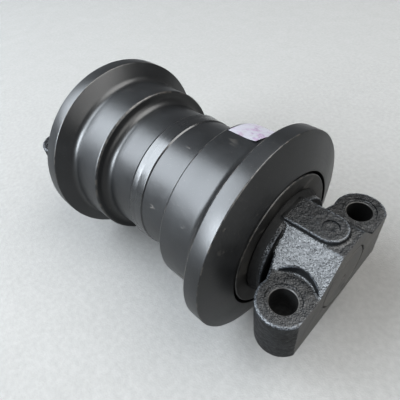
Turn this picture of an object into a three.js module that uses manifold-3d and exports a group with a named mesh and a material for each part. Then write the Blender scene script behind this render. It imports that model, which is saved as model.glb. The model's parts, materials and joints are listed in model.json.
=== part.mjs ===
// Track roller for a 20-tonne class crawler excavator, in millimetres.
// X is the shaft axis, +Z the side that the bolt heads sit on, and the origin is
// the middle of the shaft. The shell turns on the shaft; the two end collars,
// pinned to the shaft, bolt up to the track frame by their flat faces at -Z.
import * as THREE from 'three';
import { mergeVertices } from 'three/addons/utils/BufferGeometryUtils.js';
import Module from 'manifold-3d';

const wasm = await Module();
wasm.setup();

// Driving dimensions
const FIT = 0.3;                // gap left between parts that touch on the real roller
const TREAD_R = 78;
const TREAD_IN = 45;            // x of the tread's inner step
const TREAD_OUT = 76;           // x where the flange's fillet starts
const FLANGE_R = 94;
const FLANGE_IN = 91;           // x of the rim's inner edge
const FLANGE_OUT = 105;         // x of the rim's outer edge
const WAIST_R = 66;
const HUB_X = 114;              // x of the shell's outermost face
const CHAMBER_R = 44;           // oil chamber in the middle of the shell
const CHAMBER_X = 22;
const WELD_R = 68;
const WELD_HALF = 9;
const WELD_ROOT_R = 50;
const RECESS_R = 63.2;          // shell recess that the collar's disc runs in
const RECESS_X = 94.5;
const SEAL_BORE_R = 58.6;       // seat of the rubber rings, in shell and collar alike
const SEAL_X = 96;              // plane where the two metal seal rings meet
const SEAT_DEPTH = 11.6;        // from that plane to the floor of either seat
const SHAFT_R = 32.5;
const SHAFT_END_R = 28;         // inside the collars
const SHAFT_STEP_X = 118;
const SHAFT_END_X = 169.5;
const BUSH_BORE_R = SHAFT_R + 0.35;
const BUSH_R = 38;
const BUSH_IN_X = 24;
const BUSH_FLANGE_X = 79.3;
const BUSH_OUT_X = 84;
const BUSH_FLANGE_R = 46;
const NOSE_R = 46.6;            // collar's nose, which takes the thrust of the bush
const NOSE_X = 84.6;
const DISC_R = 61;
const DISC_IN_X = 98.5;
const BODY_X = 120;             // inner face of the collar's body, at its middle
const BOLT_X = 151;
const BOLT_Y = 53;
const BOLT_HOLE_R = 10.25;
const LUG_R = 20.5;
const SEAT_Z = 16.5;            // bolt-head seats
const MOUNT_Z = -33;            // faces that bolt to the track frame
const ARCH_Z = 42;              // top of the collar's body over the shaft
const ARCH_HALF = 14;
const HUMP_Z = 46.5;            // raised pad around the lock pin
const HUMP_HALF = 13;
const SCALLOP_R = 24;           // room for a socket around the bolt head
const SPOT_FACE_R = 13.4;       // machined ring around each bolt hole
const SPOT_FACE_DEPTH = 1;
const WEB_TANGENT_DEG = 196;    // where the collar's inner edge leaves a lug
const PIN_R = 6;
const PIN_TOP_Z = 45.6;
const PIN_FOOT_Z = 12;
const PLUG_HEAD_R = 11;
const PLUG_SHANK_R = 8;
const PLUG_HEAD_T = 3;
const PLUG_LENGTH = 13;
const WASHER_T = 1.2;
const PLUG_SEAT_X = PLUG_HEAD_T + WASHER_T + 0.8 - SHAFT_END_X;
const GALLERY_R = 4;
const O_RING_X = 111;
const O_RING_R = 31.4;          // middle of its section, as for the rubber rings
const O_RING_THICKNESS = 2.2;
const RUBBER_OFFSET = 7.7;      // of each rubber ring from the seal plane
const RUBBER_R = 55;
const RUBBER_THICKNESS = 6.4;
const LABEL_X = 48;             // edge nearer the middle
const LABEL_WIDTH = 27.5;
const LABEL_FROM_DEG = 45;      // from +Y towards +Z
const LABEL_SPAN_DEG = 36;
const SEGMENTS = 40;            // of the shell; what runs inside it has fewer
const INNER_SEGMENTS = 28;

// Materials
function finish(name, color, roughness, metalness) {
  return new THREE.MeshStandardMaterial({ name, color, roughness, metalness });
}
const shellPaint = finish('shell_paint', 0x1d1f21, 0.38, 0.1);
const castPaint = finish('cast_paint', 0x232629, 0.55, 0.1);
const steel = finish('ground_steel', 0x9a9c9e, 0.3, 1);
const sealIron = finish('seal_iron', 0x6d6f70, 0.35, 1);
const bronze = finish('bush_bronze', 0xa97b3f, 0.4, 1);
const rubber = finish('seal_rubber', 0x151515, 0.8, 0);
const zinc = finish('zinc_plate', 0xb4b6b3, 0.35, 1);
const copper = finish('copper', 0xb0673b, 0.4, 1);
const paper = finish('label_paper', 0xe9e8ee, 0.7, 0);

// Geometry helpers
function signedArea(points) {
  return points.reduce((sum, p, i) => {
    const q = points[(i + 1) % points.length];
    return sum + (p.x * q.y - q.x * p.y) / 2;
  }, 0);
}

// Revolve a closed outline of [x, radius] points about the X axis.
function revolve(outline, segments = SEGMENTS) {
  const points = outline.map(([x, r]) => new THREE.Vector2(r, x));
  if (signedArea(points) < 0) points.reverse();
  if (!points.some((p) => p.x === 0)) points.push(points[0].clone());
  while (points[0].x !== 0 && points.some((p) => p.x === 0)) points.push(points.shift());
  return new THREE.LatheGeometry(points, segments).rotateZ(-Math.PI / 2);
}

function mirrored(outline) {
  return outline.map(([x, r]) => [-x, r]);
}

// Points of an arc in the [x, radius] plane, from angle a0 to a1 in degrees.
function arc(x, r, radius, a0, a1, steps) {
  return Array.from({ length: steps + 1 }, (_, i) => {
    const a = THREE.MathUtils.degToRad(a0 + ((a1 - a0) * i) / steps);
    return [x + radius * Math.cos(a), r + radius * Math.sin(a)];
  });
}

function circle(r) {
  return new THREE.Shape().absarc(0, 0, r, 0, 2 * Math.PI, false);
}

// Extrude a shape drawn in XY from z0 to z1.
function upright(shape, z0, z1, curveSegments = 16) {
  const options = { depth: z1 - z0, bevelEnabled: false, curveSegments };
  return new THREE.ExtrudeGeometry(shape, options).translate(0, 0, z0);
}

// Extrude a shape drawn in YZ from x0 to x1.
function lengthwise(shape, x0, x1, curveSegments = 16) {
  return upright(shape, x0, x1, curveSegments)
    .applyMatrix4(new THREE.Matrix4().set(0, 0, 1, 0, 1, 0, 0, 0, 0, 1, 0, 0, 0, 0, 0, 1));
}

function solid(geometry) {
  const bare = geometry.clone();
  bare.deleteAttribute('normal');
  bare.deleteAttribute('uv');
  const merged = mergeVertices(bare, 1e-4);
  const index = Array.from(merged.index.array);
  const triVerts = [];
  for (let i = 0; i < index.length; i += 3) {
    const [a, b, c] = index.slice(i, i + 3);
    if (a !== b && b !== c && c !== a) triVerts.push(a, b, c);
  }
  const vertProperties = new Float32Array(merged.attributes.position.array);
  return new wasm.Manifold(
    new wasm.Mesh({ numProp: 3, vertProperties, triVerts: new Uint32Array(triVerts) }),
  );
}

function cut(whole, ...others) {
  return others.reduce((rest, piece) => rest.subtract(solid(piece)), whole);
}

function toGeometry(manifold) {
  const { vertProperties, triVerts } = manifold.getMesh();
  const geometry = new THREE.BufferGeometry();
  geometry.setAttribute('position', new THREE.BufferAttribute(vertProperties, 3));
  geometry.setIndex(new THREE.BufferAttribute(triVerts, 1));
  return geometry;
}

const roller = new THREE.Group();

function place(name, geometry, material) {
  const mesh = new THREE.Mesh(geometry, material);
  mesh.name = name;
  roller.add(mesh);
}

// Shell half: tread and flange outside, bush bore and seal seat inside.
function shellHalfOutline() {
  const bushFit = BUSH_R + FIT;
  const weldEdge = WELD_HALF + FIT;
  const waistFillet = 8;
  const flangeFillet = 9;
  return [
    [FIT / 2, CHAMBER_R],
    [FIT / 2, WELD_ROOT_R - FIT],
    [2 + FIT, WELD_ROOT_R - FIT],
    [weldEdge, WAIST_R],
    ...arc(TREAD_IN - waistFillet - 1, WAIST_R + waistFillet, waistFillet, 270, 360, 4),
    [TREAD_IN, TREAD_R - 2],
    [TREAD_IN + 2, TREAD_R],
    ...arc(TREAD_OUT, TREAD_R + flangeFillet, flangeFillet, 270, 330, 3),
    [FLANGE_IN - 0.5, FLANGE_R - 1.5],
    [FLANGE_IN + 1, FLANGE_R],
    [FLANGE_OUT - 1, FLANGE_R],
    [FLANGE_OUT, FLANGE_R - 1.5],
    [FLANGE_OUT + 3, FLANGE_R - 9],
    [HUB_X - 1, RECESS_R + 5],
    [HUB_X, RECESS_R + 2],
    [HUB_X, RECESS_R],
    [RECESS_X, RECESS_R],
    [RECESS_X, SEAL_BORE_R],
    [SEAL_X - SEAT_DEPTH, SEAL_BORE_R],
    [SEAL_X - SEAT_DEPTH, BUSH_FLANGE_R + FIT],
    [BUSH_FLANGE_X - FIT, BUSH_FLANGE_R + FIT],
    [BUSH_FLANGE_X - FIT, bushFit],
    [CHAMBER_X, bushFit],
    [CHAMBER_X - 3, CHAMBER_R],
  ];
}

// The weld that joins the halves fills a V groove and stands a little proud.
function weldOutline() {
  return [
    [-2, WELD_ROOT_R],
    [2, WELD_ROOT_R],
    [WELD_HALF, WAIST_R],
    [WELD_HALF - 2, WELD_R - 0.4],
    [0, WELD_R],
    [2 - WELD_HALF, WELD_R - 0.4],
    [-WELD_HALF, WAIST_R],
  ];
}

function bushOutline() {
  return [
    [BUSH_IN_X, BUSH_BORE_R],
    [BUSH_IN_X, BUSH_R],
    [BUSH_FLANGE_X, BUSH_R],
    [BUSH_FLANGE_X, BUSH_FLANGE_R],
    [BUSH_OUT_X, BUSH_FLANGE_R],
    [BUSH_OUT_X, BUSH_BORE_R],
  ];
}

// Metal seal ring whose flat face looks at the seal plane. side is +1 for the
// ring in the collar and -1 for the one in the shell.
function sealRingOutline(side) {
  const face = FIT / 2;
  const back = 9.8;
  const bore = NOSE_R + 1;
  const rimR = 56;
  const neckR = 52;
  const outline = [
    [back, bore],
    [face, bore],
    [face, rimR],
    [3.4, rimR],
    [4.4, neckR],
    [back, bore + 3],
  ];
  return outline.map(([offset, r]) => [SEAL_X + side * offset, r]);
}

function rubberRingOutline(x, r, thickness) {
  return arc(x, r, thickness / 2, 0, 300, 5);
}

function shaft() {
  const chamfer = 1.5;
  const grooveR = 30.1;
  const grooveHalf = 1.8;
  const groove = (x) => [
    [x - grooveHalf, SHAFT_R],
    [x - grooveHalf, grooveR],
    [x + grooveHalf, grooveR],
    [x + grooveHalf, SHAFT_R],
  ];
  const centreMarkR = 2.6;
  const centreMarkDepth = 3;
  const crossHoleR = 3;
  const headBoreR = PLUG_HEAD_R + 1.5;
  const half = [
    ...groove(O_RING_X),
    [SHAFT_STEP_X, SHAFT_R],
    [SHAFT_STEP_X, SHAFT_END_R],
    [SHAFT_END_X - chamfer, SHAFT_END_R],
    [SHAFT_END_X, SHAFT_END_R - chamfer],
  ];
  const blank = revolve([
    [-SHAFT_END_X, 0],
    ...mirrored(half).reverse(),
    ...half,
    [SHAFT_END_X, centreMarkR],
    [SHAFT_END_X - centreMarkDepth, 0],
  ], INNER_SEGMENTS);
  const gallery = revolve([
    [-SHAFT_END_X - 1, 0],
    [-SHAFT_END_X - 1, headBoreR],
    [PLUG_SEAT_X, headBoreR],
    [PLUG_SEAT_X, PLUG_SHANK_R + FIT],
    [PLUG_SEAT_X + PLUG_LENGTH, PLUG_SHANK_R + FIT],
    [PLUG_SEAT_X + PLUG_LENGTH, GALLERY_R],
    [0, GALLERY_R],
    [4, 0],
  ], 24);
  const crossHole = upright(circle(crossHoleR), 0, SHAFT_R + 2, 8);
  const pinHoles = [-1, 1].map((side) => (
    upright(circle(PIN_R + FIT), PIN_FOOT_Z - FIT, SHAFT_R, 12).translate(side * BOLT_X, 0, 0)
  ));
  return toGeometry(cut(solid(blank), gallery, crossHole, ...pinHoles));
}

// Outline of the collar's body seen along the bolts: two round lugs, joined by
// a web whose inner edge runs in a straight line from each lug to the middle.
function collarPlan() {
  const flat = Math.sqrt(LUG_R ** 2 - (SHAFT_END_X - BOLT_X) ** 2);
  const start = Math.atan2(flat, SHAFT_END_X - BOLT_X);
  const inward = THREE.MathUtils.degToRad(WEB_TANGENT_DEG);
  const plan = new THREE.Shape();
  plan.moveTo(SHAFT_END_X, -BOLT_Y - flat);
  plan.lineTo(SHAFT_END_X, BOLT_Y + flat);
  plan.absarc(BOLT_X, BOLT_Y, LUG_R, start, inward, false);
  plan.lineTo(BODY_X, ARCH_HALF);
  plan.lineTo(BODY_X, -ARCH_HALF);
  plan.absarc(BOLT_X, -BOLT_Y, LUG_R, -inward, -start, false);
  return plan;
}

// Section of the body across the shaft: bolt seats, slopes and the arch's top.
function collarSection() {
  const footY = BOLT_Y - 16;    // where the slopes reach the bolt seats
  const outY = BOLT_Y + LUG_R + 2;
  return new THREE.Shape([
    new THREE.Vector2(-outY, MOUNT_Z),
    new THREE.Vector2(outY, MOUNT_Z),
    new THREE.Vector2(outY, SEAT_Z),
    new THREE.Vector2(footY, SEAT_Z),
    new THREE.Vector2(ARCH_HALF, ARCH_Z),
    new THREE.Vector2(-ARCH_HALF, ARCH_Z),
    new THREE.Vector2(-footY, SEAT_Z),
    new THREE.Vector2(-outY, SEAT_Z),
  ]);
}

// Disc, thrust nose and neck on the collar's inner side, all turned.
function collarTurning() {
  const neckR = 46.5;
  const fillet = 3;
  return revolve([
    [NOSE_X, BUSH_BORE_R],
    [NOSE_X, NOSE_R],
    [SEAL_X + SEAT_DEPTH, NOSE_R],
    [SEAL_X + SEAT_DEPTH, SEAL_BORE_R],
    [DISC_IN_X, SEAL_BORE_R],
    [DISC_IN_X, DISC_R],
    [HUB_X - 1, DISC_R],
    [HUB_X, DISC_R - 1],
    [HUB_X, neckR + fillet],
    [HUB_X + fillet, neckR],
    [BODY_X + 4, neckR - 2],
    [BODY_X + 4, BUSH_BORE_R],
  ], 32);
}

function hump() {
  const plan = new THREE.Shape();
  plan.moveTo(BODY_X, -HUMP_HALF);
  plan.lineTo(BOLT_X, -HUMP_HALF);
  plan.absarc(BOLT_X, 0, HUMP_HALF, -Math.PI / 2, Math.PI / 2, false);
  plan.lineTo(BODY_X, HUMP_HALF);
  return upright(plan, SHAFT_R, HUMP_Z, 10);
}

function rightCollar() {
  const body = solid(upright(collarPlan(), MOUNT_Z, ARCH_Z, 14))
    .intersect(solid(lengthwise(collarSection(), BODY_X - 1, SHAFT_END_X + 1)));
  const scallops = [-1, 1].map((side) => (
    upright(circle(SCALLOP_R), SEAT_Z, ARCH_Z, 16).translate(BOLT_X, side * BOLT_Y, 0)
  ));
  const boltHoles = [-1, 1].map((side) => (
    upright(circle(BOLT_HOLE_R), MOUNT_Z - 1, SEAT_Z + 1, 12)
      .translate(BOLT_X, side * BOLT_Y, 0)
  ));
  const spotFaces = [-1, 1].map((side) => (
    upright(circle(SPOT_FACE_R), SEAT_Z - SPOT_FACE_DEPTH, SEAT_Z + 1, 12)
      .translate(BOLT_X, side * BOLT_Y, 0)
  ));
  const shaftBore = revolve([
    [NOSE_X - 1, 0],
    [NOSE_X - 1, BUSH_BORE_R],
    [SHAFT_STEP_X + FIT, BUSH_BORE_R],
    [SHAFT_STEP_X + FIT, SHAFT_END_R + FIT],
    [SHAFT_END_X + 1, SHAFT_END_R + FIT],
    [SHAFT_END_X + 1, 0],
  ], INNER_SEGMENTS);
  const pinHole = upright(circle(PIN_R + FIT), 0, HUMP_Z + 1, 12).translate(BOLT_X, 0, 0);
  const arched = cut(body, ...scallops).add(solid(hump())).add(solid(collarTurning()));
  return cut(arched, shaftBore, pinHole, ...spotFaces, ...boltHoles);
}

function oilPlug() {
  const headX = PLUG_SEAT_X - WASHER_T - FIT;
  const socketR = 5;
  const socketDepth = 7;
  const body = revolve([
    [headX - PLUG_HEAD_T, 0],
    [headX - PLUG_HEAD_T, PLUG_HEAD_R - 0.8],
    [headX - PLUG_HEAD_T + 0.8, PLUG_HEAD_R],
    [headX, PLUG_HEAD_R],
    [headX, PLUG_SHANK_R],
    [PLUG_SEAT_X + PLUG_LENGTH - 1, PLUG_SHANK_R],
    [PLUG_SEAT_X + PLUG_LENGTH - 1, 0],
  ], 24);
  const socket = lengthwise(
    circle(socketR),
    headX - PLUG_HEAD_T - 1,
    headX - PLUG_HEAD_T + socketDepth,
    3,
  );
  return toGeometry(cut(solid(body), socket));
}

function oilPlugWasher() {
  return revolve([
    [PLUG_SEAT_X - WASHER_T, PLUG_SHANK_R + FIT],
    [PLUG_SEAT_X - WASHER_T, PLUG_HEAD_R],
    [PLUG_SEAT_X - FIT, PLUG_HEAD_R],
    [PLUG_SEAT_X - FIT, PLUG_SHANK_R + FIT],
  ], 24);
}

// Blank paper label, wrapped around part of the right tread.
function paperLabel() {
  const thickness = 0.4;
  const inner = TREAD_R + FIT;
  const outer = inner + thickness;
  const from = THREE.MathUtils.degToRad(LABEL_FROM_DEG);
  const to = THREE.MathUtils.degToRad(LABEL_FROM_DEG + LABEL_SPAN_DEG);
  const strip = new THREE.Shape();
  strip.absarc(0, 0, outer, from, to, false);
  strip.absarc(0, 0, inner, to, from, true);
  return lengthwise(strip, LABEL_X, LABEL_X + LABEL_WIDTH, 10);
}

const turned = new THREE.Matrix4().makeRotationZ(Math.PI);

function placePair(name, rightGeometry, material) {
  place(`${name}_right`, rightGeometry, material);
  place(`${name}_left`, rightGeometry.clone().applyMatrix4(turned), material);
}

place('shaft', shaft(), steel);
placePair('end_collar', toGeometry(rightCollar()), castPaint);
placePair(
  'lock_pin',
  upright(circle(PIN_R), PIN_FOOT_Z, PIN_TOP_Z, 12).translate(BOLT_X, 0, 0),
  steel,
);
placePair('shell_half', revolve(shellHalfOutline()), shellPaint);
place('shell_weld', revolve(weldOutline()), shellPaint);
placePair('flanged_bush', revolve(bushOutline(), INNER_SEGMENTS), bronze);
placePair('rotating_seal_ring', revolve(sealRingOutline(-1), INNER_SEGMENTS), sealIron);
placePair('fixed_seal_ring', revolve(sealRingOutline(1), INNER_SEGMENTS), sealIron);
placePair(
  'rotating_seal_rubber',
  revolve(rubberRingOutline(SEAL_X - RUBBER_OFFSET, RUBBER_R, RUBBER_THICKNESS), INNER_SEGMENTS),
  rubber,
);
placePair(
  'fixed_seal_rubber',
  revolve(rubberRingOutline(SEAL_X + RUBBER_OFFSET, RUBBER_R, RUBBER_THICKNESS), INNER_SEGMENTS),
  rubber,
);
placePair(
  'shaft_o_ring',
  revolve(rubberRingOutline(O_RING_X, O_RING_R, O_RING_THICKNESS), INNER_SEGMENTS),
  rubber,
);
place('oil_plug', oilPlug(), zinc);
place('oil_plug_washer', oilPlugWasher(), copper);
place('paper_label', paperLabel(), paper);

export default roller;
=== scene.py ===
# Track roller: the looks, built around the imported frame. Outlines are written in
# millimetres, and each mesh is scaled to metres when it is made.
import json
import math

import bmesh
import bpy
from mathutils import Matrix, Vector, noise


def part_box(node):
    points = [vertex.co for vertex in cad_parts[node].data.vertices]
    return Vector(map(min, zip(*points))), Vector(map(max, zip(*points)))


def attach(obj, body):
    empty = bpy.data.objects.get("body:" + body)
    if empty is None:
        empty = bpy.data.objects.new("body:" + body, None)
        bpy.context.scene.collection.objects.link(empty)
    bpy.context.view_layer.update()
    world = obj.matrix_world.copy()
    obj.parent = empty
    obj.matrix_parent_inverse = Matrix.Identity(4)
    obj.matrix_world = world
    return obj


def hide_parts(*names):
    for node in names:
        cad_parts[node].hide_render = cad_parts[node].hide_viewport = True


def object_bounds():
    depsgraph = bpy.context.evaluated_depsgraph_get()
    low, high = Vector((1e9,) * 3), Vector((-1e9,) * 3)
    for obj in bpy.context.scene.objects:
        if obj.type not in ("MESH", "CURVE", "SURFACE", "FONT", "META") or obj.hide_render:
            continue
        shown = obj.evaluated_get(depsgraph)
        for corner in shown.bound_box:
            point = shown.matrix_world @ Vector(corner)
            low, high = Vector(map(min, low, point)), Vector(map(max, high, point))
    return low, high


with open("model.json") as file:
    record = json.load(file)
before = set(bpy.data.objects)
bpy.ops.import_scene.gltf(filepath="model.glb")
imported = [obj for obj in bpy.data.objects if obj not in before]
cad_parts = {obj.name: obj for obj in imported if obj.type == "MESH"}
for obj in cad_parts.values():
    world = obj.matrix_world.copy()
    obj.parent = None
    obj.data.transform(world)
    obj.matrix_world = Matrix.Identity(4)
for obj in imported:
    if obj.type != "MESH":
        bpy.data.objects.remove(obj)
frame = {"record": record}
cad_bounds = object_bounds()
mounts = {m["name"]: Vector(m["pos_m"]) * 1000 for m in frame["record"]["mounts"]}


def box_mm(node):
    """The low and high corners of a CAD node's box, in millimetres."""
    low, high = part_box(node)
    return low * 1000, high * 1000


# Places and outer sizes, from the frame
SHELL_HIGH = box_mm("shell_half_right")[1]
COLLAR_LOW, COLLAR_HIGH = box_mm("end_collar_right")
SHAFT_END_X = box_mm("shaft")[1].x
WELD_HIGH = box_mm("shell_weld")[1]
PIN_LOW, PIN_HIGH = box_mm("lock_pin_right")
BUSH_LOW, BUSH_HIGH = box_mm("flanged_bush_right")
RING_IN_HIGH = box_mm("rotating_seal_ring_right")[1]
RING_OUT_LOW = box_mm("fixed_seal_ring_right")[0]
RUBBER_LOW, RUBBER_HIGH = box_mm("rotating_seal_rubber_right")
RUBBER_OUT_LOW, RUBBER_OUT_HIGH = box_mm("fixed_seal_rubber_right")
O_RING_LOW, O_RING_HIGH = box_mm("shaft_o_ring_right")
PLUG_LOW, PLUG_HIGH = box_mm("oil_plug")
WASHER_LOW, WASHER_HIGH = box_mm("oil_plug_washer")
LABEL_LOW, LABEL_HIGH = box_mm("paper_label")
BOLT_X = mounts["frame_pad_right"].x
MOUNT_Z = mounts["frame_pad_right"].z
SPOT_Z = mounts["bolt_seat_right_rear"].z
FLANGE_R = SHELL_HIGH.z
HUB_X = SHELL_HIGH.x
WELD_R = WELD_HIGH.z
WELD_HALF = WELD_HIGH.x
NOSE_X = COLLAR_LOW.x
PIN_R = (PIN_HIGH.y - PIN_LOW.y) / 2
SEAL_X = (RING_IN_HIGH.x + RING_OUT_LOW.x) / 2

# Sizes inside those boxes
GAP = 0.15                      # half of what is left open between faces that touch
LUG_R = 20.5
BOLT_Y = COLLAR_HIGH.y - LUG_R
PIN_SUNK = 0.9                  # the lock pin's end lies this far below the hump
HUMP_Z = PIN_HIGH.z + PIN_SUNK
PIN_BORE = PIN_R + 0.3
TREAD_R = 78
TREAD_IN = 45
SLOPE_X = 81                    # where the tread's line and the flange's slope meet
FLANGE_IN = 91
FLANGE_OUT = 105
WAIST_R = 66
RECESS_R = 63.2
RECESS_X = 94.5
SEAL_BORE_R = 58.6
SEAT_DEPTH = 11.6
CHAMBER_R = 44
SHAFT_R = 32.5
SHAFT_END_R = 28
SHAFT_STEP_X = 118
BORE_R = SHAFT_R + 0.35         # running clearance of the bushes
NOSE_R = 46.6
DISC_R = 61
DISC_IN_X = 98.5
NECK_R = 46.5
BODY_X = 120
ARCH_Z = 42
ARCH_HALF = 14
HUMP_HALF = 13
SEAT_Z = SPOT_Z + 1             # the spot faces are milled 1 mm into the lugs
FOOT_HALF = BOLT_Y - 16         # where the slopes reach the bolt seats
SCALLOP_R = 24
HOLE_R = 10.25
SPOT_R = 13.4
OVERSIZE = 4                    # cast stock that machining takes off

SHELL_SEGMENTS = 288
INNER_SEGMENTS = 96
NECK_SEGMENTS = 128
BORE_SEGMENTS = 160
SHAFT_SEGMENTS = 192
PIN_SEGMENTS = 64


# ---- Mesh making ---------------------------------------------------------------

def rounded(corners):
    """Points of a closed outline of (x, r, fillet) corners, each as (x, r, wear_and_shade).

    Wear rises to 1 along an outer round and falls to -1 along an inner one, where the shell paint
    uses it for painted shade.
    """
    straight = math.radians(176)
    count = len(corners)
    area = sum(
        corners[i - 1][0] * corners[i][1] - corners[i][0] * corners[i - 1][1]
        for i in range(count)
    )
    points = []
    for i, (x, r, fillet) in enumerate(corners):
        here = Vector((x, r))
        back = (Vector(corners[i - 1][:2]) - here).normalized()
        ahead = (Vector(corners[(i + 1) % count][:2]) - here).normalized()
        opening = back.angle(ahead)
        if fillet == 0 or opening > straight:
            points.append((x, r, 0.0))
            continue
        centre = here + (back + ahead).normalized() * fillet / math.sin(opening / 2)
        start = here + back * fillet / math.tan(opening / 2) - centre
        turn = math.pi - opening
        cross = back.x * ahead.y - back.y * ahead.x
        outward = 1 if cross * area < 0 else -1
        steps = max(3, round(turn * (2 + 2.2 * math.sqrt(fillet))))
        sense = 1 if cross < 0 else -1
        for k in range(steps + 1):
            angle = sense * turn * k / steps
            spot = centre + Matrix.Rotation(angle, 2) @ start
            points.append((spot.x, spot.y, outward * math.sin(math.pi * k / steps)))
    return points


def turned(points, segments=SHELL_SEGMENTS):
    """Closed mesh of revolution about X, in mm, with its wear_and_shade attribute."""
    made = bmesh.new()
    layer = made.verts.layers.float.new("wear_and_shade")
    rings = []
    for x, r, wear_and_shade in points:
        if r < 1e-6:
            spots = [made.verts.new((x, 0, 0))]
        else:
            angles = [2 * math.pi * k / segments for k in range(segments)]
            spots = [made.verts.new((x, r * math.cos(a), r * math.sin(a))) for a in angles]
        for spot in spots:
            spot[layer] = wear_and_shade
        rings.append(spots)
    for i, ring in enumerate(rings):
        previous = rings[i - 1]
        if len(ring) == 1 and len(previous) == 1:
            continue
        for k in range(segments):
            n = (k + 1) % segments
            corners = [previous[k % len(previous)], previous[n % len(previous)],
                       ring[n % len(ring)], ring[k % len(ring)]]
            made.faces.new(dict.fromkeys(corners))
    bmesh.ops.recalc_face_normals(made, faces=made.faces)
    mesh = bpy.data.meshes.new("turned")
    made.to_mesh(mesh)
    made.free()
    return mesh


def prism(outline, low, high, axes="xyz"):
    """Closed mesh of a flat outline in mm, running from low to high.

    The outline lies in the first two of the axes and is pulled along the third.
    """
    order = ["xyz".index(a) for a in axes]
    made = bmesh.new()

    def spot(u, v, w):
        place = [0, 0, 0]
        for axis, value in zip(order, (u, v, w)):
            place[axis] = value
        return made.verts.new(place)

    bottom = [spot(u, v, low) for u, v in outline]
    top = [spot(u, v, high) for u, v in outline]
    made.faces.new(bottom)
    made.faces.new(top)
    for i in range(len(outline)):
        made.faces.new((bottom[i - 1], bottom[i], top[i], top[i - 1]))
    bmesh.ops.recalc_face_normals(made, faces=made.faces)
    mesh = bpy.data.meshes.new("prism")
    made.to_mesh(mesh)
    made.free()
    return mesh


def arc(x, y, r, start, end, steps):
    """Points of an arc, from one angle to another in degrees."""
    angles = [math.radians(start + (end - start) * k / steps) for k in range(steps + 1)]
    return [(x + r * math.cos(a), y + r * math.sin(a)) for a in angles]


def circle(x, y, r, count):
    """The corners of a regular polygon, without its first point repeated."""
    return arc(x, y, r, 0, 360 - 360 / count, count - 1)


def evaluated(mesh, *modifiers):
    """The mesh after modifiers, each given as (type, settings)."""
    carrier = bpy.data.objects.new("carrier", mesh)
    bpy.context.scene.collection.objects.link(carrier)
    for kind, settings in modifiers:
        modifier = carrier.modifiers.new(kind.lower(), kind)
        for key, value in settings.items():
            setattr(modifier, key, value)
    graph = bpy.context.evaluated_depsgraph_get()
    made = bpy.data.meshes.new_from_object(carrier.evaluated_get(graph))
    bpy.data.objects.remove(carrier)
    return made


def combined(mesh, operation, *tools):
    """The mesh joined to, or cut by, each tool in turn."""
    for tool in tools:
        helper = bpy.data.objects.new("helper", tool)
        bpy.context.scene.collection.objects.link(helper)
        settings = {"operation": operation, "solver": "MANIFOLD", "object": helper}
        mesh = evaluated(mesh, ("BOOLEAN", settings))
        bpy.data.objects.remove(helper)
    return mesh


def moved(mesh, matrix):
    """The same mesh, after a transform."""
    mesh.transform(matrix)
    return mesh


def mirrored(points):
    """The outline mirrored in the plane across the middle of the shaft."""
    return [(-x, r, wear_and_shade) for x, r, wear_and_shade in points]


def piece(name, mesh, body, materials, replaced=None, sharp=32):
    """Makes the object that stands for a CAD node, from a mesh in mm."""
    mesh.name = name
    mesh.transform(Matrix.Scale(0.001, 4))
    mesh.materials.clear()
    for material in materials:
        mesh.materials.append(material)
    mesh.shade_smooth()
    mesh.set_sharp_from_angle(angle=math.radians(sharp))
    made = bpy.data.objects.new(name, mesh)
    bpy.context.scene.collection.objects.link(made)
    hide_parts(replaced or name.removesuffix("_skin"))
    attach(made, body)
    return made


# ---- Materials -----------------------------------------------------------------

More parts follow.
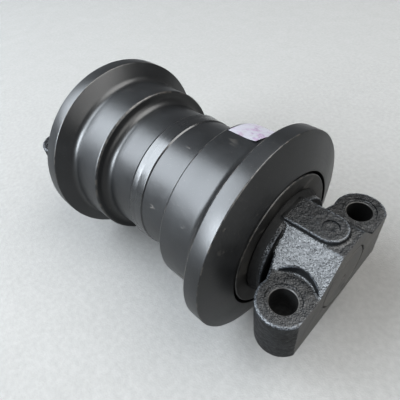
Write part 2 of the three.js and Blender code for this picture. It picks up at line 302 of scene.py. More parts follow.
class Look:
    """A procedural material: a node tree around one Principled shader."""

    def __init__(self, name, **plain):
        self.material = bpy.data.materials.new(name)
        self.material.use_nodes = True
        self.tree = self.material.node_tree
        self.shader = self.tree.nodes["Principled BSDF"]
        for key, value in plain.items():
            self.shader.inputs[key.replace("_", " ")].default_value = value
        self.place = self.add("TexCoord").outputs["Object"]

    def add(self, kind, inputs=(), **settings):
        """A new node, its inputs linked where they are given as sockets."""
        made = self.tree.nodes.new("ShaderNode" + kind)
        for key, value in settings.items():
            setattr(made, key, value)
        for key, value in dict(inputs).items():
            if isinstance(value, bpy.types.NodeSocket):
                self.tree.links.new(value, made.inputs[key])
            else:
                made.inputs[key].default_value = value
        return made

    def math(self, operation, a, b):
        return self.add("Math", {0: a, 1: b}, operation=operation).outputs[0]

    def step(self, value, low, high, start=0.0, end=1.0):
        """value mapped smoothly from low..high to start..end."""
        inputs = {"Value": value, "From Min": low, "From Max": high,
                  "To Min": start, "To Max": end}
        return self.add("MapRange", inputs, interpolation_type="SMOOTHSTEP").outputs[0]

    def grain(self, size_mm, detail=3.0, stretch=None):
        """Noise from 0 to 1 whose features are about size_mm across."""
        at = self.place
        if stretch:
            at = self.add("VectorMath", {0: at, 1: stretch}, operation="MULTIPLY").outputs[0]
        inputs = {"Vector": at, "Scale": 1000 / size_mm, "Detail": detail}
        return self.add("TexNoise", inputs).outputs["Fac"]

    def rings(self, pitch_mm, detail=2.0):
        """Noise that changes only along the axis and outwards, as turning marks do."""
        flat = self.add("VectorMath", {0: self.place, 1: (0, 1, 1)}, operation="MULTIPLY")
        radius = self.add("VectorMath", {0: flat.outputs[0]}, operation="LENGTH")
        along = self.add("SeparateXYZ", {0: self.place}).outputs["X"]
        inputs = {"W": self.math("ADD", along, radius.outputs["Value"]),
                  "Scale": 1000 / pitch_mm, "Detail": detail}
        return self.add("TexNoise", inputs, noise_dimensions="1D").outputs["Fac"]

    def mix(self, share, a, b):
        """Colour a where share is 0, and colour b where it is 1."""
        made = self.add("Mix", {0: share, 6: a, 7: b}, data_type="RGBA")
        return made.outputs[2]

    def attribute(self, name):
        """A value that the mesh carries at each point."""
        return self.add("Attribute", attribute_name=name).outputs["Fac"]

    def colour(self, value):
        self.tree.links.new(value, self.shader.inputs["Base Color"])

    def roughness(self, value):
        self.tree.links.new(value, self.shader.inputs["Roughness"])

    def bump(self, *layers):
        """Each layer is (height from 0 to 1, height in mm)."""
        normal = None
        for height, depth_mm in layers:
            inputs = {"Height": height, "Distance": depth_mm / 1000, "Strength": 1.0}
            if normal:
                inputs["Normal"] = normal
            normal = self.add("Bump", inputs).outputs["Normal"]
        self.tree.links.new(normal, self.shader.inputs["Normal"])


def grey(value, tint=(1, 1, 1)):
    """A grey of that brightness, shaded by the tint."""
    return (*[value * t for t in tint], 1)


COOL = (0.92, 1.0, 1.1)
WARM = (1.12, 1.0, 0.86)
DUST_AND_REFLECTION_TINT = (1.04, 1.0, 0.93)
WARM_FLOOR = (1.01, 1.0, 0.97)


def shell_paint(name, rough, **plain):
    """Satin black over a turned forging: soft turning marks, rubbed edges, small scuffs, and painted
    shade in the inner rounds.
    """
    look = Look(name, Specular_IOR_Level=0.68, **plain)
    blotch = look.grain(34, 5)
    fine = look.grain(1.3, 2)
    wear_and_shade = look.attribute("wear_and_shade")
    body = look.mix(look.step(blotch, 0.3, 0.7), grey(0.0050, COOL), grey(0.0085, COOL))
    chips = look.math("MULTIPLY", look.step(wear_and_shade, 0.15, 0.9), look.step(look.grain(5, 6), 0.42, 0.62))
    body = look.mix(look.math("MULTIPLY", chips, 0.5), body, grey(0.06, WARM))
    # inner rounds darkened towards near black: painted shade in the creases between faces
    crease_shade = look.math("MULTIPLY", look.step(wear_and_shade, -0.1, -0.9), 0.5)
    body = look.mix(crease_shade, body, grey(0.004))
    scratch = look.step(look.grain(9, 7, stretch=(0.35, 1, 1)), 0.675, 0.70)
    rub = look.step(look.grain(60, 3), 0.50, 0.62)
    marks = look.math("MULTIPLY", scratch, rub)
    body = look.mix(look.math("MULTIPLY", marks, 0.3), body, grey(0.12, WARM))
    dust = look.math("MULTIPLY", look.step(look.grain(0.9, 1), 0.66, 0.76), 0.22)
    look.colour(look.mix(dust, body, grey(0.10, WARM)))
    sheen = look.step(blotch, 0.25, 0.75, rough, rough + 0.08)
    sheen = look.math("ADD", sheen, look.math("MULTIPLY", marks, 0.2))
    look.roughness(look.math("ADD", sheen, look.math("MULTIPLY", look.rings(2.2), 0.05)))
    look.bump((look.rings(0.9, 3), 0.012), (look.grain(14, 3), 0.10), (fine, 0.018),
              (marks, 0.05))
    return look.material


def cast_paint(name, specular, rough, grit):
    """Black over rough sand-cast iron with grit mm of grain, rubbed on its edges, with painted glints
    on the grain tops.
    """
    look = Look(name, Specular_IOR_Level=specular)
    coarse = look.grain(1.15, 2)
    wear_and_shade = look.attribute("wear_and_shade")
    body = look.mix(look.step(look.grain(16, 4), 0.3, 0.7), grey(0.003, COOL), grey(0.008, COOL))
    rubbed = look.math("MULTIPLY", look.step(wear_and_shade, 0.25, 0.9), look.step(coarse, 0.35, 0.6))
    body = look.mix(look.math("MULTIPLY", rubbed, 0.5), body, grey(0.12, COOL))
    # lighter specks on the grain tops: painted glints, standing in for the sparkle of lit grain
    glint_speck = look.math("MULTIPLY", look.step(coarse, 0.60, 0.70), 0.2)
    look.colour(look.mix(glint_speck, body, grey(0.08, COOL)))
    look.roughness(look.step(look.grain(2.6, 2), 0.3, 0.7, rough, rough + 0.12))
    look.bump((look.grain(5, 3), 0.22), (coarse, grit))
    return look.material


def machined_paint(name, low, high):
    """Thin black paint over milled and turned faces of the casting; its raised grey tone and warm
    tint are partly dust and partly painted reflection of the floor.
    """
    look = Look(name, Specular_IOR_Level=0.4)
    blotch = look.grain(20, 5)
    # grey tones with a warm tint: partly dust, partly painted reflection of the floor
    body = look.mix(look.step(blotch, 0.3, 0.7), grey(low), grey(high, DUST_AND_REFLECTION_TINT))
    smears = look.step(look.grain(7, 6, stretch=(1, 0.3, 1)), 0.60, 0.66)
    body = look.mix(look.math("MULTIPLY", smears, 0.3), body, grey(0.10, DUST_AND_REFLECTION_TINT))
    drips = look.step(look.grain(11, 6, stretch=(1, 0.5, 2)), 0.64, 0.67)
    look.colour(look.mix(drips, body, grey(0.012)))
    look.roughness(look.step(blotch, 0.3, 0.7, 0.40, 0.55))
    look.bump((look.grain(9, 3), 0.06), (look.grain(0.8, 2), 0.02))
    return look.material


def painted_shade_black():
    """Near-black with a faint mottle, for the bolt bores and the collar's neck: painted shade where
    these recesses lie in shadow.
    """
    look = Look("painted_shade_black", Specular_IOR_Level=0.25)
    mottle = look.grain(3, 5)
    look.colour(look.mix(look.step(mottle, 0.35, 0.65), grey(0.003), grey(0.007)))
    look.roughness(look.step(mottle, 0.3, 0.7, 0.6, 0.8))
    look.bump((mottle, 0.1), (look.rings(0.7), 0.02))
    return look.material


def metal(name, tone, tint, rough, mark_mm):
    """Bare turned metal with tool marks, smears of oil and small stains."""
    look = Look(name, Metallic=1.0)
    smear = look.grain(12, 5)
    body = look.mix(look.step(smear, 0.3, 0.7), grey(tone, tint), grey(tone * 0.8, tint))
    stain = look.step(look.grain(4, 6), 0.60, 0.70, 0.0, 0.5)
    look.colour(look.mix(stain, body, grey(tone * 0.45, tint)))
    look.roughness(look.step(smear, 0.3, 0.7, rough, rough + 0.14))
    look.bump((look.rings(mark_mm, 2), 0.012), (look.grain(1.0, 2), 0.008))
    return look.material


def rubber_look():
    """Black rubber with a grey bloom."""
    look = Look("seal_rubber", Specular_IOR_Level=0.4)
    bloom = look.grain(6, 5)
    look.colour(look.mix(look.step(bloom, 0.4, 0.7), grey(0.016), grey(0.034)))
    look.roughness(look.step(bloom, 0.3, 0.7, 0.55, 0.75))
    look.bump((look.grain(0.6, 3), 0.03), (look.grain(5, 2), 0.05))
    return look.material


def paper_look():
    """Blank paper with a lavender cast, pink patches, smudges and grime."""
    pink_patch = (0.15, 0.095, 0.15, 1)
    dark_smudge = (0.045, 0.022, 0.060, 1)
    look = Look("label_paper", Specular_IOR_Level=0.35, Sheen_Weight=0.15)
    fibre = look.grain(0.5, 4)
    body = look.mix(look.step(fibre, 0.3, 0.7), grey(0.15, (0.99, 0.96, 1.08)),
                    grey(0.19, (0.99, 0.97, 1.07)))
    pink = look.step(look.grain(7, 4), 0.50, 0.66, 0.0, 0.7)
    body = look.mix(pink, body, pink_patch)
    smudge = look.math("MULTIPLY", look.step(look.grain(1.8, 5), 0.52, 0.60), pink)
    body = look.mix(look.math("MULTIPLY", smudge, 0.8), body, dark_smudge)
    grime = look.step(look.grain(9, 6), 0.56, 0.70, 0.0, 0.35)
    look.colour(look.mix(grime, body, grey(0.11, WARM)))
    look.roughness(look.step(fibre, 0.3, 0.7, 0.55, 0.72))
    look.bump((look.grain(7, 2), 0.22), (fibre, 0.03))
    return look.material


def floor_look():
    """Pale, faintly uneven floor."""
    look = Look("floor", Specular_IOR_Level=0.2)
    look.colour(look.mix(look.grain(5, 6), grey(0.165, WARM_FLOOR), grey(0.215, WARM_FLOOR)))
    look.roughness(look.step(look.grain(40, 2), 0.3, 0.7, 0.75, 0.9))
    look.bump((look.grain(1.6, 4), 0.25))
    return look.material


PAINT = shell_paint("shell_paint", 0.29)
WELD_PAINT = shell_paint("weld_paint", 0.22, Coat_Weight=0.4, Coat_Roughness=0.2)
CAST = cast_paint("cast_paint", 0.5, 0.20, 0.40)
CAST_SIDE = cast_paint("cast_side_paint", 0.25, 0.42, 0.16)
MACHINED = machined_paint("machined_paint", 0.030, 0.060)
DISC = machined_paint("disc_paint", 0.010, 0.024)
SHADE_BLACK = painted_shade_black()
STEEL = metal("ground_steel", 0.52, (1, 1, 1.02), 0.22, 0.5)
SEAL_IRON = metal("seal_iron", 0.30, (1, 1, 1), 0.28, 0.6)
BRONZE = metal("bush_bronze", 0.62, (1.0, 0.68, 0.33), 0.30, 0.7)
ZINC = metal("zinc_plate", 0.60, (1.0, 1.0, 0.95), 0.30, 0.9)
COPPER = metal("copper", 0.62, (1.0, 0.52, 0.32), 0.32, 0.8)
RUBBER = rubber_look()
PAPER = paper_look()
COLLAR_LOOKS = [CAST, MACHINED, PAINT, SHADE_BLACK, DISC, CAST_SIDE]


# ---- Shell ---------------------------------------------------------------------

def shell_half_points():
    """Half of the forged shell, from the joint at the middle to its open end."""
    root_r = 49.7
    root_half = 2.3
    bush_end_x = BUSH_LOW.x - 2
    bush_seat_r = 38.3
    flange_seat_x = BUSH_HIGH.x - 5
    flange_seat_r = BUSH_HIGH.z + 0.3
    mouth = 2.4
    return rounded([
        (GAP, CHAMBER_R, 0.5),
        (GAP, root_r, 0.3),
        (root_half, root_r, 0.3),
        (WELD_HALF + 0.02, WAIST_R, 0),
        (TREAD_IN - 1, WAIST_R, 8),
        (TREAD_IN, TREAD_R, 2.5),
        (SLOPE_X, TREAD_R, 9),
        (FLANGE_IN, FLANGE_R, 1.6),
        (FLANGE_OUT, FLANGE_R, 1.2),
        (HUB_X - 0.5, RECESS_R + mouth, 1.2),
        (HUB_X, RECESS_R, 0.5),
        (RECESS_X, RECESS_R, 0.8),
        (RECESS_X, SEAL_BORE_R, 0.4),
        (SEAL_X - SEAT_DEPTH, SEAL_BORE_R, 1),
        (SEAL_X - SEAT_DEPTH, flange_seat_r, 0.4),
        (flange_seat_x, flange_seat_r, 0.3),
        (flange_seat_x, bush_seat_r, 0.4),
        (bush_end_x, bush_seat_r, 0.4),
        (bush_end_x - 3, CHAMBER_R, 1),
    ])


def weld_points():
    """Ridge as its turning passes left it: a steep flank, a slope and a level band."""
    root_r = 50
    root_half = 2
    crest_x = -5.8
    band_start, band_end = -0.5, 7.8
    return rounded([
        (-root_half, root_r, 0), (-WELD_HALF, WAIST_R, 0), (crest_x, WELD_R, 0.7),
        (band_start, WAIST_R + 1.2, 1), (band_end, WAIST_R + 0.95, 0.6),
        (WELD_HALF, WAIST_R, 0), (root_half, root_r, 0),
    ])


def make_shell():
    """The two shell halves and the weld between them."""
    half = shell_half_points()
    for side, points in (("right", half), ("left", mirrored(half))):
        piece(f"shell_half_{side}_skin", turned(points), "roller_shell",
              [PAINT], sharp=40)
    piece("shell_weld_skin", turned(weld_points()), "roller_shell", [WELD_PAINT],
          sharp=25)


# ---- Collars -------------------------------------------------------------------

def cast_body():
    """The collar's casting before machining, with stock left on its end and pads."""
    inward = 196                # degrees round a lug to where the web leaves it
    far_x = SHAFT_END_X + OVERSIZE
    rear = arc(BOLT_X, BOLT_Y, LUG_R, 0, inward, 48)
    front = [(x, -y) for x, y in reversed(rear)]
    plan = [(far_x, -BOLT_Y + 1), (far_x, BOLT_Y - 1), *rear, (BODY_X, ARCH_HALF),
            (BODY_X, -ARCH_HALF), *front]
    out = BOLT_Y + LUG_R + 2
    section = [(-out, MOUNT_Z - OVERSIZE), (out, MOUNT_Z - OVERSIZE), (out, SEAT_Z),
               (FOOT_HALF, SEAT_Z), (ARCH_HALF, ARCH_Z), (-ARCH_HALF, ARCH_Z),
               (-FOOT_HALF, SEAT_Z), (-out, SEAT_Z)]
    body = prism(plan, MOUNT_Z - OVERSIZE, ARCH_Z)
    body = combined(body, "INTERSECT", prism(section, BODY_X - 2, far_x + 2, "yzx"))
    scallops = [prism(circle(BOLT_X, y, SCALLOP_R, 120), SEAT_Z, HUMP_Z)
                for y in (-BOLT_Y, BOLT_Y)]
    body = combined(body, "DIFFERENCE", *scallops)
    pad = [(BODY_X - 1, -HUMP_HALF), *arc(BOLT_X, 0, HUMP_HALF, -90, 90, 40),
           (BODY_X - 1, HUMP_HALF)]
    body = combined(body, "UNION", prism(pad, SHAFT_R, HUMP_Z))
    neck = turned(rounded([
        (HUB_X + 0.6, 0, 0), (HUB_X + 0.6, NECK_R + 3, 0), (HUB_X + 3.5, NECK_R, 2),
        (BODY_X + 4, NECK_R - 2, 0), (BODY_X + 4, 0, 0),
    ]), NECK_SEGMENTS)
    body = combined(body, "UNION", neck)
    body = evaluated(
        body,
        ("REMESH", {"mode": "VOXEL", "voxel_size": 0.8}),
        ("SMOOTH", {"factor": 0.5, "iterations": 10}),
    )
    add_cast_relief(body)
    return body


def add_cast_relief(mesh):
    """Uneven sand-cast skin, and how far each point stands out, as its wear_and_shade value."""
    relief = 0.16
    full_wear = 0.045           # mm that a point stands out where the wear is 1
    made = bmesh.new()
    made.from_mesh(mesh)
    layer = made.verts.layers.float.new("wear_and_shade")
    made.normal_update()
    bulge = {}
    for v in made.verts:
        ring = [e.other_vert(v).co for e in v.link_edges]
        bulge[v.index] = (v.co - sum(ring, Vector()) / len(ring)).dot(v.normal)
    shifts = []
    for v in made.verts:
        own = [bulge[e.other_vert(v).index] for e in v.link_edges] + [bulge[v.index]]
        v[layer] = max(-1, min(1, sum(own) / len(own) / full_wear))
        lumps = noise.noise(v.co / 5) + 0.6 * noise.noise(v.co / 1.9)
        shifts.append(v.normal * relief * lumps)
    for v, shift in zip(made.verts, shifts):
        v.co += shift
    made.to_mesh(mesh)
    made.free()


def collar_turning():
    """Disc, thrust nose and seal seat, turned on the collar's inner side."""
    nose_fit = 0.6
    seat = SEAL_X + SEAT_DEPTH
    return turned(rounded([
        (NOSE_X, 0, 0),
        (NOSE_X, NOSE_R, nose_fit),
        (seat, NOSE_R, 0.5),
        (seat, SEAL_BORE_R, 1),
        (DISC_IN_X, SEAL_BORE_R, 0.4),
        (DISC_IN_X, DISC_R, 0.5),
        (HUB_X, DISC_R, 1.4),
        (HUB_X, NECK_R + 1, 0),
        (HUB_X + 4, NECK_R - 2, 0),
        (HUB_X + 4, 0, 0),
    ]))


def along_z(mesh, x, y):
    """A mesh turned about X, stood up on the Z axis at x, y."""
    stand = Matrix.Rotation(math.radians(-90), 4, "Y")
    return moved(mesh, Matrix.Translation((x, y, 0)) @ stand)


def hole_cutter(x, y):
    """Bolt hole with eased edges, and the spot face around its top."""
    ease = 0.7
    return along_z(turned([
        (MOUNT_Z - 2, 0, 0), (MOUNT_Z - 2, HOLE_R + 2 + ease, 0), (MOUNT_Z + ease, HOLE_R, 0),
        (SPOT_Z - ease, HOLE_R, 0), (SPOT_Z, HOLE_R + ease, 0), (SPOT_Z, SPOT_R - 0.3, 0),
        (SPOT_Z + 0.3, SPOT_R, 0), (SEAT_Z + 2, SPOT_R + 0.8, 0), (SEAT_Z + 2, 0, 0),
    ], INNER_SEGMENTS), x, y)


def block(low, high):
    """Box between two corners."""
    return prism([(low[0], low[1]), (high[0], low[1]), (high[0], high[1]),
                  (low[0], high[1])], low[2], high[2])


def collar_look(face):
    """The look of one face of the right collar, from where it is and how it lies."""
    touch = 0.06
    upward = 0.3
    place = face.center
    radius = math.hypot(place.y, place.z)
    from_bolt = math.hypot(place.x - BOLT_X, abs(place.y) - BOLT_Y)
    in_bolt_hole = from_bolt < HOLE_R + 0.1
    on_bolt_edge = from_bolt < HOLE_R + 1.5
    on_neck = place.x < BODY_X + 1 and radius < NECK_R + 4
    on_end = abs(place.x - SHAFT_END_X) < touch
    on_pad = abs(place.z - MOUNT_Z) < touch
    in_bore = radius < BORE_R + touch and place.z < SHAFT_R + touch
    if place.x < HUB_X - 0.05:
        return PAINT
    if abs(place.x - HUB_X) < touch:
        return DISC
    # bolt bores and the neck take near-black painted shade, for these recesses in shadow
    if in_bolt_hole or on_neck:
        return SHADE_BLACK
    if on_bolt_edge or on_end or on_pad or in_bore:
        return MACHINED
    if face.normal.z < upward:
        return CAST_SIDE
    return CAST


def right_collar():
    """The collar at the right end, machined and bored, in mm."""
    body = cast_body()
    reach = 200                 # past the collar on every side
    end_stock = block((SHAFT_END_X, -reach, -reach), (SHAFT_END_X + 20, reach, reach))
    pad_stock = block((BODY_X - 20, -reach, MOUNT_Z - 20), (reach, reach, MOUNT_Z))
    body = combined(body, "DIFFERENCE", end_stock, pad_stock)
    body = combined(body, "UNION", collar_turning())
    ease = 0.6
    end_bore = SHAFT_END_R + 0.3
    bore = turned([
        (NOSE_X - 2, 0, 0), (NOSE_X - 2, BORE_R + 2 + ease, 0), (NOSE_X + ease, BORE_R, 0),
        (SHAFT_STEP_X + 0.3, BORE_R, 0), (SHAFT_STEP_X + 0.3, end_bore, 0),
        (SHAFT_END_X - ease, end_bore, 0), (SHAFT_END_X + 2, end_bore + ease + 2, 0),
        (SHAFT_END_X + 2, 0, 0),
    ], BORE_SEGMENTS)
    pin_hole = along_z(turned([
        (0, 0, 0), (0, PIN_BORE, 0), (HUMP_Z + 2, PIN_BORE, 0), (HUMP_Z + 2, 0, 0),
    ], PIN_SEGMENTS), BOLT_X, 0)
    holes = [hole_cutter(BOLT_X, y) for y in (-BOLT_Y, BOLT_Y)]
    return combined(body, "DIFFERENCE", bore, pin_hole, *holes)


def make_collars():
    """Both collars; the left one is the right one turned half round."""
    right = right_collar()
    looks = [COLLAR_LOOKS.index(collar_look(face)) for face in right.polygons]
    left = right.copy()
    left.transform(Matrix.Rotation(math.pi, 4, "Z"))
    for side, mesh in (("right", right), ("left", left)):
        made = piece(f"end_collar_{side}_skin", mesh, "shaft_group", COLLAR_LOOKS)
        made.data.polygons.foreach_set("material_index", looks)


# ---- Shaft, pins and plug ------------------------------------------------------

def shaft_points():
    """The shaft, with stepped ends, O-ring grooves and a centre mark in one end."""
    groove_r = 30.1
    groove_half = 1.8
    chamfer = 1.5
    groove_x = (O_RING_LOW.x + O_RING_HIGH.x) / 2
    half = [
        (groove_x - groove_half, SHAFT_R, 0.2),
        (groove_x - groove_half, groove_r, 0.2),
        (groove_x + groove_half, groove_r, 0.2),
        (groove_x + groove_half, SHAFT_R, 0.2),
        (SHAFT_STEP_X, SHAFT_R, 0.6),
        (SHAFT_STEP_X, SHAFT_END_R, 0.3),
        (SHAFT_END_X - chamfer, SHAFT_END_R, 0.3),
        (SHAFT_END_X, SHAFT_END_R - chamfer, 0.3),
    ]
    left = [(-x, r, fillet) for x, r, fillet in reversed(half)]
    centre_r = 3.2
    centre_depth = 4
    return rounded([(-SHAFT_END_X, 0, 0), *left, *half, (SHAFT_END_X, centre_r, 0.3),
                    (SHAFT_END_X - centre_depth, 0, 0)])


def make_shaft():
    """The shaft with its oil gallery and pin holes, and thin paint on its ends."""
    plug_seat = WASHER_HIGH.x + 0.3
    plug_end = PLUG_HIGH.x + 1
    head_bore = PLUG_HIGH.z + 1.5
    shank_bore = 8.3
    gallery_r = 4
    cross_r = 3
    gallery = turned([
        (-SHAFT_END_X - 2, 0, 0), (-SHAFT_END_X - 2, head_bore + 2.6, 0),
        (-SHAFT_END_X + 0.6, head_bore, 0), (plug_seat, head_bore, 0),
        (plug_seat, shank_bore, 0), (plug_end, shank_bore, 0), (plug_end, gallery_r, 0),
        (0, gallery_r, 0), (4, 0, 0),
    ], INNER_SEGMENTS)
    cross = along_z(turned([(0, 0, 0), (0, cross_r, 0), (SHAFT_R + 2, cross_r, 0),
                            (SHAFT_R + 2, 0, 0)], 32), 0, 0)
    pin_foot = PIN_LOW.z - 0.3
    pin_holes = [along_z(turned([(pin_foot, 0, 0), (pin_foot, PIN_BORE, 0),
                                 (SHAFT_R, PIN_BORE, 0), (SHAFT_R, 0, 0)], 48), x, 0)
                 for x in (-BOLT_X, BOLT_X)]
    mesh = combined(turned(shaft_points(), SHAFT_SEGMENTS), "DIFFERENCE", gallery, cross,
                    *pin_holes)
    painted_from = SHAFT_END_X - 1.7
    painted = [int(abs(f.center.x) > painted_from) for f in mesh.polygons]
    made = piece("shaft_skin", mesh, "shaft_group", [STEEL, MACHINED])
    made.data.polygons.foreach_set("material_index", painted)


def make_pins():
    """The lock pins, a tight fit and painted over with the casting."""
    tight_r = PIN_R + 0.2
    points = rounded([(PIN_LOW.z, 0, 0), (PIN_LOW.z, tight_r, 0.6), (PIN_HIGH.z, tight_r, 0.5),
                      (PIN_HIGH.z, 1.5, 0), (PIN_HIGH.z - 0.5, 0, 0)])
    for side, x in (("right", BOLT_X), ("left", -BOLT_X)):
        mesh = along_z(turned(points, PIN_SEGMENTS), x, 0)
        piece(f"lock_pin_{side}_skin", mesh, "shaft_group", [CAST])


def make_plug():
    """The oil plug, with rings for its thread and a hexagon socket, and its washer."""
    head_t = 3
    head_r = PLUG_HIGH.z
    shank_r = 8
    socket_r = 5
    thread = 0.35
    head_x = PLUG_LOW.x + head_t
    corners = [(PLUG_LOW.x, 0, 0), (PLUG_LOW.x, head_r, 0.9), (head_x, head_r, 0.3),
               (head_x, shank_r - thread, 0.2)]
    pitch = 1.5
    turns = int((PLUG_HIGH.x - head_x - 2.5) / pitch)
    for k in range(turns):
        start = head_x + 1 + k * pitch
        corners += [(start, shank_r - thread, 0), (start + pitch / 2, shank_r, 0)]
    corners += [(PLUG_HIGH.x - 1, shank_r - thread, 0), (PLUG_HIGH.x, shank_r - 1.4, 0),
                (PLUG_HIGH.x, 0, 0)]
    socket_depth = 6
    socket = prism(circle(0, 0, socket_r, 6), PLUG_LOW.x - 1, PLUG_LOW.x + socket_depth, "yzx")
    mesh = combined(turned(rounded(corners), INNER_SEGMENTS), "DIFFERENCE", socket)
    piece("oil_plug_skin", mesh, "shaft_group", [ZINC])
    washer_bore = shank_r + 0.3
    ring = rounded([
        (WASHER_LOW.x, washer_bore, 0.25), (WASHER_LOW.x, WASHER_HIGH.z, 0.35),
        (WASHER_HIGH.x, WASHER_HIGH.z, 0.35), (WASHER_HIGH.x, washer_bore, 0.25),
    ])
    piece("oil_plug_washer_skin", turned(ring, INNER_SEGMENTS), "shaft_group",
          [COPPER])


# ---- Bushes and seals ----------------------------------------------------------

def place_pair(name, points, body, material):
    """A turned piece at the right end, and its mirror image at the left."""
    for side, shape in (("right", points), ("left", mirrored(points))):
        piece(f"{name}_{side}_skin", turned(shape, INNER_SEGMENTS), body, [material])


def seal_ring_points(side):
    """A seal ring on one side of the seal face: -1 turns with the shell, 1 is fixed."""
    bore = NOSE_R + 1
    back = 9.8
    face_r = 56
    outline = [(back, bore, 0.4), (GAP, bore, 0.3), (GAP, face_r, 0.3), (3.4, face_r, 0.4),
               (4.4, face_r - 4, 1.2), (back, bore + 3, 0.5)]
    return rounded([(SEAL_X + side * offset, r, fillet) for offset, r, fillet in outline])


def rubber_points(low, high, thickness):
    """A round rubber section that reaches the outside of its node's box."""
    r = thickness / 2
    return [(x, y, 0) for x, y in circle((low.x + high.x) / 2, high.z - r, r, 24)]


def make_bushes_and_seals():
    """What runs and seals inside each end of the shell."""
    bush_r = 38
    flange_x = BUSH_HIGH.x - 4.7
    groove_x = (BUSH_LOW.x + BUSH_HIGH.x) / 2
    rubber_t = 6.3
    o_ring_t = 2.1
    bush = rounded([
        (BUSH_LOW.x, BORE_R, 0.5), (BUSH_LOW.x, bush_r, 0.8),
        (flange_x, bush_r, 0.3), (flange_x, BUSH_HIGH.z, 0.4),
        (BUSH_HIGH.x, BUSH_HIGH.z, 0.6), (BUSH_HIGH.x, BORE_R, 0.6),
        (groove_x + 2, BORE_R, 0.2), (groove_x, BORE_R + 1.2, 1), (groove_x - 2, BORE_R, 0.2),
    ])
    place_pair("flanged_bush", bush, "roller_shell", BRONZE)
    place_pair("rotating_seal_ring", seal_ring_points(-1), "roller_shell", SEAL_IRON)
    place_pair("fixed_seal_ring", seal_ring_points(1), "shaft_group", SEAL_IRON)
    place_pair("rotating_seal_rubber", rubber_points(RUBBER_LOW, RUBBER_HIGH, rubber_t),
               "roller_shell", RUBBER)
    place_pair("fixed_seal_rubber", rubber_points(RUBBER_OUT_LOW, RUBBER_OUT_HIGH, rubber_t),
               "shaft_group", RUBBER)
    place_pair("shaft_o_ring", rubber_points(O_RING_LOW, O_RING_HIGH, o_ring_t),
               "shaft_group", RUBBER)


# ---- Label ---------------------------------------------------------------------

def make_label():
    """Thin paper stuck round the tread, with one corner lifting and a soft crease."""
    across, around = 36, 60
    thickness = 0.14
    stuck_r = TREAD_R + 0.12
    start = math.atan2(LABEL_LOW.z, LABEL_HIGH.y)
    end = math.atan2(LABEL_HIGH.z, LABEL_LOW.y)
    lift = 1.3
    lifts_from = 1.62           # of 2, which is the corner itself
    made = bmesh.new()

    def spot(i, k, layer):
        u, v = i / across, k / around
        corner = max(0, u + v - lifts_from) / (2 - lifts_from)
        crease = 0.10 * math.exp(-(((u - 0.62) - 0.15 * v) / 0.03) ** 2)
        ripple = 0.06 * noise.noise(Vector((u * 4, v * 6, 3.1)))
        r = stuck_r + abs(ripple) + crease + lift * corner ** 2 + layer * thickness
        edge = 0.25 * noise.noise(Vector((u * 9, v * 12, 8.7)))
        x = LABEL_LOW.x + (LABEL_HIGH.x - LABEL_LOW.x) * u + edge * (abs(2 * u - 1) > 0.99)
        a = start + (end - start) * v
        return made.verts.new((x, r * math.cos(a), r * math.sin(a)))

    sheets = [[[spot(i, k, layer) for k in range(around + 1)] for i in range(across + 1)]
              for layer in (0, 1)]
    for sheet in sheets:
        for i in range(across):
            for k in range(around):
                made.faces.new((sheet[i][k], sheet[i + 1][k], sheet[i + 1][k + 1],
                                sheet[i][k + 1]))
    rim = [(i, 0) for i in range(across)]
    rim += [(across, k) for k in range(around)]
    rim += [(i, around) for i in range(across, 0, -1)]
    rim += [(0, k) for k in range(around, 0, -1)]
    for a, b in zip(rim, rim[1:] + rim[:1]):
        made.faces.new((sheets[0][a[0]][a[1]], sheets[0][b[0]][b[1]],
                        sheets[1][b[0]][b[1]], sheets[1][a[0]][a[1]]))
    bmesh.ops.recalc_face_normals(made, faces=made.faces)
    mesh = bpy.data.meshes.new("label")
    made.to_mesh(mesh)
    made.free()
    piece("paper_label_skin", mesh, "roller_shell", [PAPER])


# ---- Camera, light and floor ---------------------------------------------------

def direction(azimuth, elevation):
    """Unit vector towards a compass-like azimuth, 0 at -Y and 90 at +X, in degrees."""
    a, e = math.radians(azimuth), math.radians(elevation)
    return Vector((math.sin(a) * math.cos(e), -math.cos(a) * math.cos(e), math.sin(e)))


def make_camera():
    """Camera above the right end, rolled a little to one side."""
    azimuth, elevation, roll = 50.6, 46.6, 9.0
    distance = 0.366
    sensor_mm, lens_mm = 36, 32.6
    off_middle = Vector((0.0167, -0.0024, -0.0139))
    aim = (cad_bounds[0] + cad_bounds[1]) / 2 + off_middle
    back = direction(azimuth, elevation)
    right = direction(azimuth + 90, 0)
    up = back.cross(right)
    tilt = math.radians(roll)
    tilted_up = up * math.cos(tilt) + right * math.sin(tilt)
    tilted_right = tilted_up.cross(back)
    data = bpy.data.cameras.new("camera")
    data.sensor_width = sensor_mm
    data.lens = lens_mm
    camera = bpy.data.objects.new("camera", data)
    turn = Matrix((tilted_right, tilted_up, back)).transposed()
    camera.matrix_world = Matrix.Translation(aim + back * distance) @ turn.to_4x4()
    data.clip_start = 0.01
    bpy.context.scene.collection.objects.link(camera)
    bpy.context.scene.camera = camera


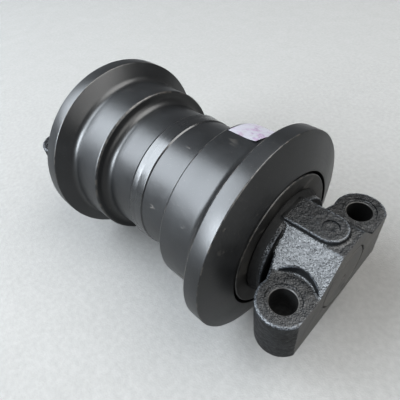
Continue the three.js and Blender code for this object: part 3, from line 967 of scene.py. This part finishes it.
def softbox(name, azimuth, elevation, half_angle, luminance, colour):
    """Round soft light, given by how wide and bright it looks from the object.

    half_angle is in degrees, and a lit disc gives off pi times its luminance per area.
    """
    distance = 3.0
    radius = distance * math.tan(math.radians(half_angle))
    data = bpy.data.lights.new(name, "AREA")
    data.shape = "DISK"
    data.size = 2 * radius
    data.energy = luminance * math.pi * math.pi * radius ** 2
    data.color = colour
    light = bpy.data.objects.new(name, data)
    towards = direction(azimuth, elevation)
    light.location = towards * distance
    light.rotation_euler = towards.to_track_quat("Z", "Y").to_euler()
    bpy.context.scene.collection.objects.link(light)


def make_lights():
    """A key of three discs one inside another, so that its edge is soft, and fills."""
    cool, warm = (0.88, 0.94, 1.0), (1.0, 0.995, 0.98)
    sky, sky_strength = (0.95, 0.97, 1.0, 1), 0.26
    for part, (half_angle, luminance) in enumerate([(12, 9.0), (19, 8.5), (26, 8.0)]):
        softbox(f"key_{part}", -54, 48, half_angle, luminance, cool)
    softbox("side", -14, 28, 15, 20, cool)
    softbox("fill", 140, 62, 25, 5.8, warm)
    softbox("right", 92, 24, 24, 3.2, warm)
    softbox("overhead", 20, 78, 25, 0.6, warm)
    world = bpy.data.worlds.new("studio")
    world.use_nodes = True
    background = world.node_tree.nodes["Background"]
    background.inputs["Color"].default_value = sky
    background.inputs["Strength"].default_value = sky_strength
    bpy.context.scene.world = world


def make_floor():
    """Square slab in metres, whose top the roller stands on."""
    half = 4.0
    depth = 0.05
    mesh = prism([(-half, -half), (half, -half), (half, half), (-half, half)],
                 cad_bounds[0].z - depth, cad_bounds[0].z)
    mesh.materials.append(floor_look())
    floor = bpy.data.objects.new("floor", mesh)
    bpy.context.scene.collection.objects.link(floor)


def set_view():
    """How light becomes picture tones: softer contrast than plain, a little brighter."""
    settings = bpy.context.scene.view_settings
    settings.view_transform = "Standard"
    settings.gamma = 0.8
    settings.exposure = 0.25


make_camera()
make_shell()
make_collars()
make_shaft()
make_pins()
make_plug()
make_bushes_and_seals()
make_label()
make_lights()
make_floor()
set_view()
